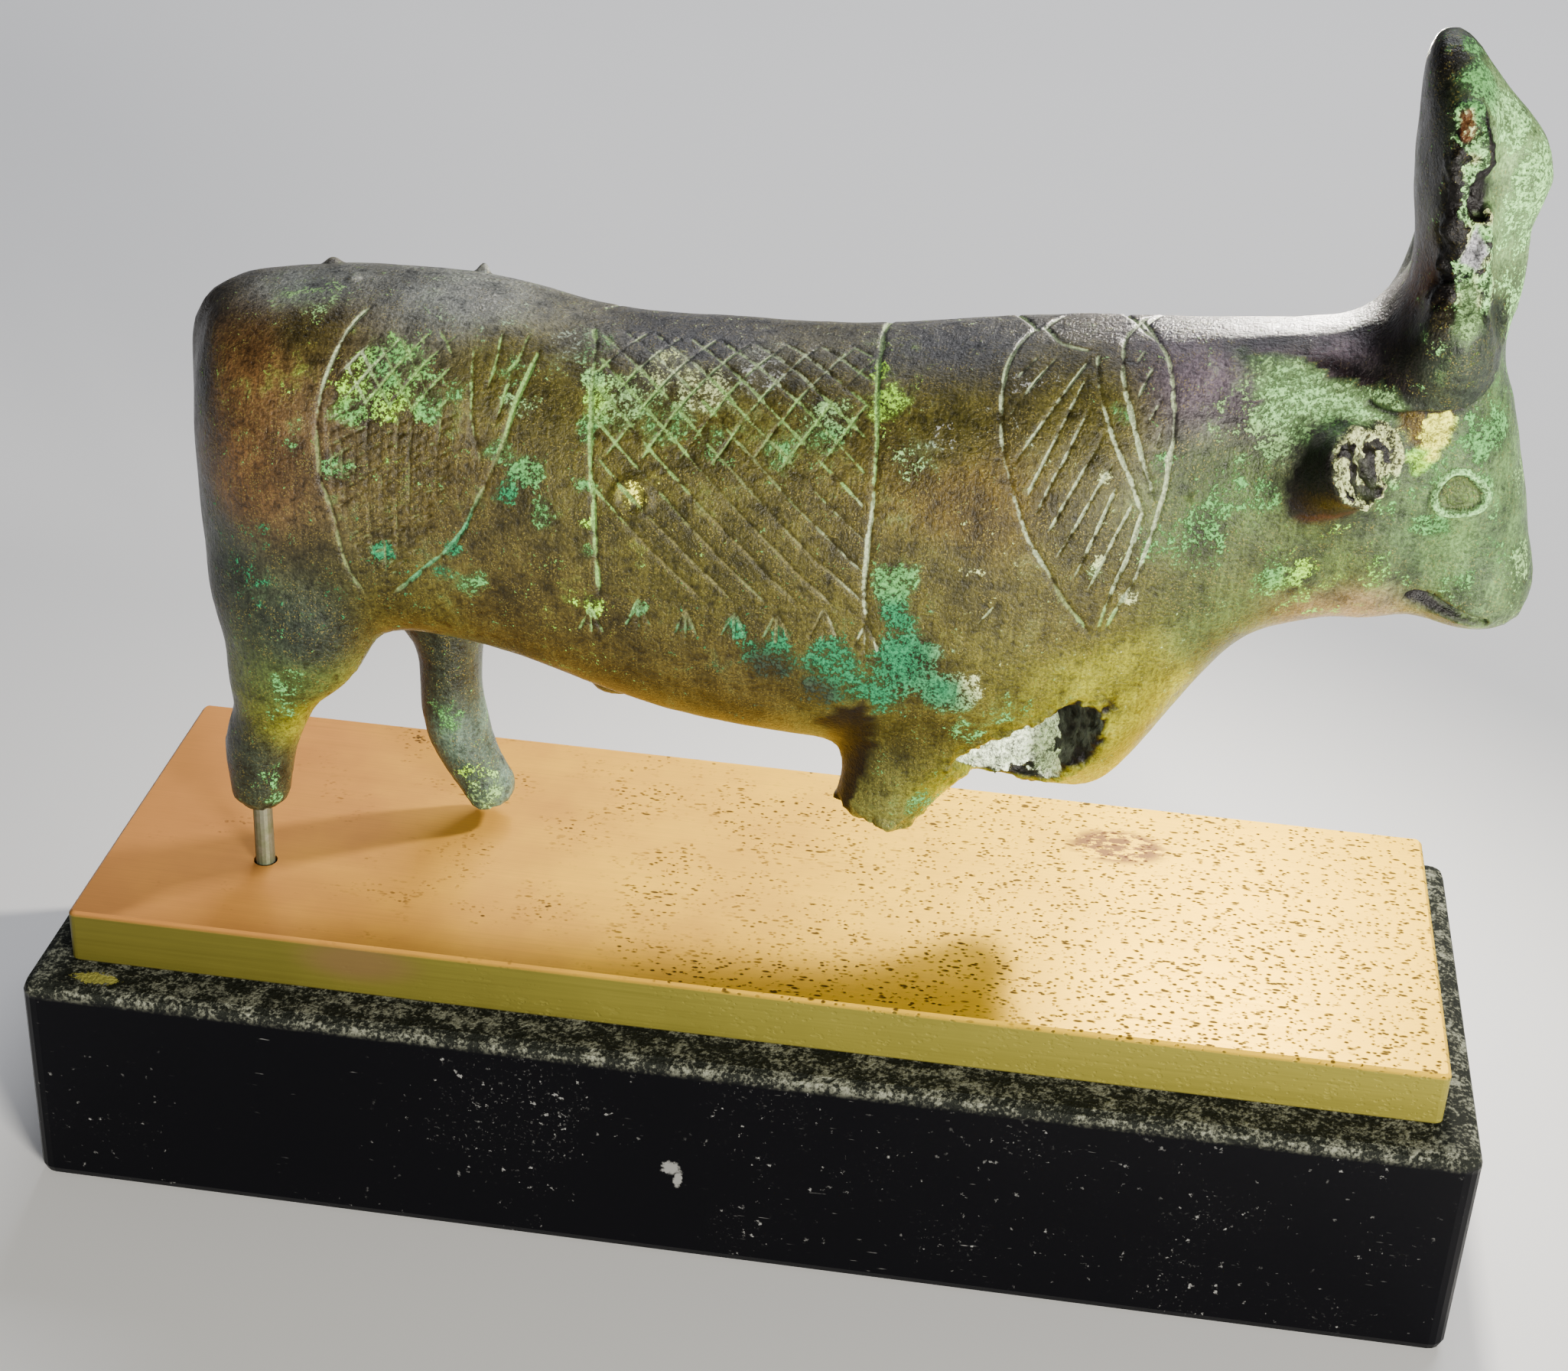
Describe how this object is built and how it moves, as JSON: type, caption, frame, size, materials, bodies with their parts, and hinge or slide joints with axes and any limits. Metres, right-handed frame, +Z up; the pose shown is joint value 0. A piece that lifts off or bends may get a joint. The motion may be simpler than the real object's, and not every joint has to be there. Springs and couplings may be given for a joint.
{
  "type": "apis bull figure",
  "caption": "Cast bronze standing bull with engraved saddle cloth and wings, its crown, horn and legs broken, held by a pin over a brass plate on a black block.",
  "frame": {"origin": "centre of the black block's underside", "axes": "+X along the block, towards the bull's head; +Y across it, away from the side that the picture shows; +Z up"},
  "size_m": [0.116, 0.0424, 0.0999],
  "materials": {
    "bronze": "brown and olive patina with green corrosion, satin",
    "plate_brass": "brushed, lightly tarnished",
    "black_lacquer": "black lacquer, semi-gloss, scratched and dusty",
    "pin_steel": "dull, slightly green"
  },
  "bodies": {
    "root": {"base_block": "black_lacquer", "brass_plate": "plate_brass", "mounting_pin": "pin_steel", "bull": "bronze"}
  },
  "joints": []
}
